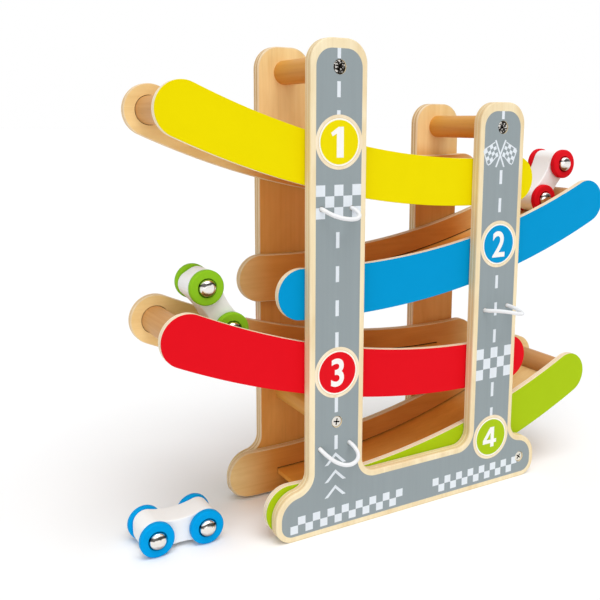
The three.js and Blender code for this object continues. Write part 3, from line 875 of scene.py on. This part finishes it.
# Cords: three short loops of limp white round cord. Each goes out through one hole in the front panel and
# back in through another, and hangs a little in between.
CORD = 2.5 * MM
CORDS = {
    "upper_left": (LEFT, [
        (-11.5, -4, 199.9), (-11.5, 0, 199.9), (-10.9, 2.6, 199.2), (-8.4, 5.4, 197.4),
        (-4.2, 7.8, 195.6), (0.4, 9.5, 194.6), (4.6, 10.2, 194.4), (7.4, 9.6, 194.9),
        (9.3, 7.7, 196), (9.9, 5.1, 197.5), (9.4, 2.4, 198.9), (8.9, 0, 199.6),
        (8.9, -4, 199.6),
    ]),
    "right": (RIGHT, [
        (-9.7, -4, 126), (-9.7, 0, 126), (-9.3, 2.8, 126.2), (-7.6, 5.8, 126.5),
        (-4.6, 8.9, 126.6), (-1, 11.9, 126.3), (2.6, 14.6, 125.7), (5.8, 16, 125.1),
        (8.9, 15.4, 124.7), (11, 13.2, 124.7), (11.6, 10.2, 125.1), (11.2, 6.6, 126.2),
        (10.4, 3, 126.9), (10, 0, 127.1), (10, -4, 127.1),
    ]),
    "lower_left": (LEFT, [
        (-11.6, -4, 55.2), (-11.6, 0, 55.2), (-10.4, 2.2, 53.6), (-6.4, 4.4, 49.6),
        (-1.6, 6.4, 46.4), (3.6, 7.8, 45), (8.2, 8.4, 46.2), (10.5, 8, 49.2),
        (10.3, 5.6, 52.8), (9.1, 2.4, 55.2), (9.1, -4, 55.4),
    ]),
}
string = Finish("white_cord", roughness=0.7)
fuzz = string.noise((1500, 1500, 1500), 3.0)
cord_tone = string.mix(fuzz, tint(238, 238, 238), tint(222, 224, 228))
cord_look = string.show(cord_tone, 0.6 + fuzz * 0.2, fuzz, 0.00008)
for where, (middle, route) in CORDS.items():
    bpy.ops.object.select_all(action="DESELECT")
    bpy.ops.curve.primitive_bezier_curve_add(radius=1)
    cord = bpy.context.object
    cord.name = f"{where}_loop"
    cord.data.dimensions = "3D"
    spline = cord.data.splines[0]
    spline.bezier_points.add(len(route) - 2)
    for point, (x, out, z) in zip(spline.bezier_points, route):
        point.co = ((middle + x) * MM, -PLY / 2 - out * MM, z * MM)
        point.handle_left_type = point.handle_right_type = "AUTO"
    spline.resolution_u = 8
    cord.data.bevel_depth = CORD / 2
    cord.data.bevel_resolution = 6
    cord.data.use_fill_caps = True
    bpy.ops.object.mode_set(mode="EDIT")
    bpy.ops.curve.select_all(action="SELECT")
    bpy.ops.curve.subdivide(number_cuts=1)
    bpy.ops.object.mode_set(mode="OBJECT")
    cord.data.materials.append(cord_look)
    fix(cord, "frame", f"{where}_cord")


# Cars: a white waisted wooden body with the same outline both ways up, two steel axles and four painted
# wooden wheels. The big wheels stand proud of the body all round, so a car runs on after it flips.
MIDDLE = 33.8
WHEELBASE = 30.6
BODY_HALF_WIDTH = 8.7
BODY_EASE = 0.9 * MM
WHEEL_INNER_FACE = 9.2
CARS = {
    "green": (-118.839, 129.081, 120.0, tint(140, 195, 36)),
    "red": (127.406, 194.606, 54.5, tint(222, 22, 34)),
    "blue": (-167.3, 10.4, 0.0, tint(0, 158, 228)),
}


def turned(name, profile, steps=64):
    """Turns a piece about Y from a profile of (radius, y) millimetres."""
    bpy.ops.object.select_all(action="DESELECT")
    bpy.ops.mesh.primitive_circle_add(vertices=len(profile), radius=1, fill_type="NOTHING")
    piece = bpy.context.object
    piece.name = name
    for vertex, (radius, y) in zip(piece.data.vertices, profile):
        vertex.co = (radius * MM, y * MM, 0)
    bpy.ops.object.mode_set(mode="EDIT")
    bpy.ops.mesh.select_all(action="SELECT")
    bpy.ops.mesh.spin(steps=steps, angle=2 * math.pi, center=(0, 0, 0), axis=(0, 1, 0))
    bpy.ops.mesh.select_all(action="SELECT")
    bpy.ops.mesh.remove_doubles(threshold=0.000002)
    bpy.ops.mesh.normals_make_consistent(inside=False)
    bpy.ops.object.mode_set(mode="OBJECT")
    return piece


def copy_to(original, name, x, y, z, flipped=False):
    """A copy with its own mesh, put in place; flipped faces it the other way along Y."""
    copy = original.copy()
    copy.data = original.data.copy()
    copy.name = name
    bpy.context.scene.collection.objects.link(copy)
    bpy.ops.object.select_all(action="DESELECT")
    bpy.context.view_layer.objects.active = copy
    copy.select_set(True)
    copy.location = (x * MM, y * MM, z * MM)
    copy.rotation_euler = (0, 0, math.pi if flipped else 0)
    bpy.ops.object.transform_apply(location=True, rotation=True, scale=True)
    return copy


def car_body(name, x, z, heading):
    """The body's outline, from its lead axle towards its tail axle."""
    corner, lift, past, waist = 7.6, 2.3, 0.6, 7.5
    middle = WHEELBASE / 2
    reach = middle + past
    dip = waist - lift
    hollow = (reach**2 + dip**2 - corner**2) / (2 * (corner - dip))
    touch = math.degrees(math.atan2(dip + hollow, reach))
    points = arc(WHEELBASE + past, lift, corner, 0, 180 - touch, 14)
    points += arc(middle, waist + hollow, hollow, -touch, touch - 180, 24)[1:-1]
    points += arc(-past, lift, corner, touch, 180, 14)
    points += arc(-past, -lift, corner, 180, 360 - touch, 14)
    points += arc(middle, -waist - hollow, hollow, 180 - touch, touch, 24)[1:-1]
    points += arc(WHEELBASE + past, -lift, corner, touch - 180, 0, 14)
    along = math.cos(math.radians(heading))
    up = math.sin(math.radians(heading))
    placed = [(x + a * along - b * up, z + a * up + b * along) for a, b in points]
    return board(name, placed, (MIDDLE - BODY_HALF_WIDTH) * MM, (MIDDLE + BODY_HALF_WIDTH) * MM, BODY_EASE, 3)


quarter = [math.radians(a) for a in range(0, 91, 15)]
rim = [(9.2 + 1.2 * math.sin(a), 3.2 + 1.2 * math.cos(a)) for a in quarter]
back_rim = [(9.2 + 1.2 * math.cos(a), 1.2 - 1.2 * math.sin(a)) for a in quarter]
wheel_profile = [(2.3, 2.2), (5.7, 2.2), (5.7, 4.25), (5.85, 4.4)] + rim + back_rim + [(2.3, 0)]
wheel_blank = turned("wheel_blank", wheel_profile)
dome = [(5.2 * math.sin(a), 13.5 + 3.4 * math.cos(a)) for a in (math.radians(9 * i) for i in range(11))]
axle_profile = dome + [(5.2, 12.7), (2.0, 12.7)]
axle_blank = turned("axle_blank", axle_profile + [(r, -y) for r, y in reversed(axle_profile)])
white_coat = paint("white_body_paint", tint(249, 249, 249))
# The caps' colour carries a painted reflection: a dark band on the upper side and brown underneath, set by
# which way each face points.
chrome = Finish("cap_metal_painted_reflection", metallic=1.0)
facing = chrome.node("ShaderNodeSeparateXYZ", (), [chrome.place.part("Normal")])
upward = facing.part("Z") + (chrome.noise((380, 380, 380), 2.0) - 0.5) * 0.5
painted_band_low_edge = chrome.node("ShaderNodeMapRange", (), [upward, 0.2, 0.3, 0.0, 0.92])
painted_band_high_edge = chrome.node("ShaderNodeMapRange", (), [upward, 0.62, 0.5, 0.0, 1.0])
painted_underside_reflection = chrome.node("ShaderNodeMapRange", (), [upward, -0.2, -0.5, 0.0, 0.7])
painted_cap_reflection = chrome.mix(painted_band_low_edge * painted_band_high_edge, tint(236, 232, 226), tint(26, 22, 20))
painted_cap_reflection = chrome.mix(painted_underside_reflection, painted_cap_reflection, tint(122, 86, 54))
cap_steel = chrome.show(painted_cap_reflection, 0.08 + chrome.noise((900, 900, 900)) * 0.08)
for car, (x, z, heading, color) in CARS.items():
    shell = car_body(f"{car}_shell", x, z, heading)
    shell.data.materials.append(white_coat)
    smooth(shell)
    fix(shell, f"{car}_car", f"{car}_car_body")
    wheel_paint = paint(f"{car}_wheel_paint", color)
    turn = math.radians(heading)
    for end, along in (("lead", 0), ("tail", WHEELBASE)):
        ax, az = x + along * math.cos(turn), z + along * math.sin(turn)
        axle = copy_to(axle_blank, f"{car}_{end}_pin", ax, MIDDLE, az)
        axle.data.materials.append(cap_steel)
        smooth(axle)
        fix(axle, f"{car}_car", f"{car}_car_{end}_axle")
        for reach, sign in (("near", -1), ("far", 1)):
            inner_face = MIDDLE + sign * WHEEL_INNER_FACE
            tyre = copy_to(wheel_blank, f"{car}_{end}_{reach}_roller", ax, inner_face, az, sign < 0)
            tyre.data.materials.append(wheel_paint)
            smooth(tyre, 50)
            fix(tyre, f"{car}_car_{end}_{reach}_wheel", f"{car}_car_{end}_{reach}_wheel")
bpy.data.objects.remove(wheel_blank)
bpy.data.objects.remove(axle_blank)
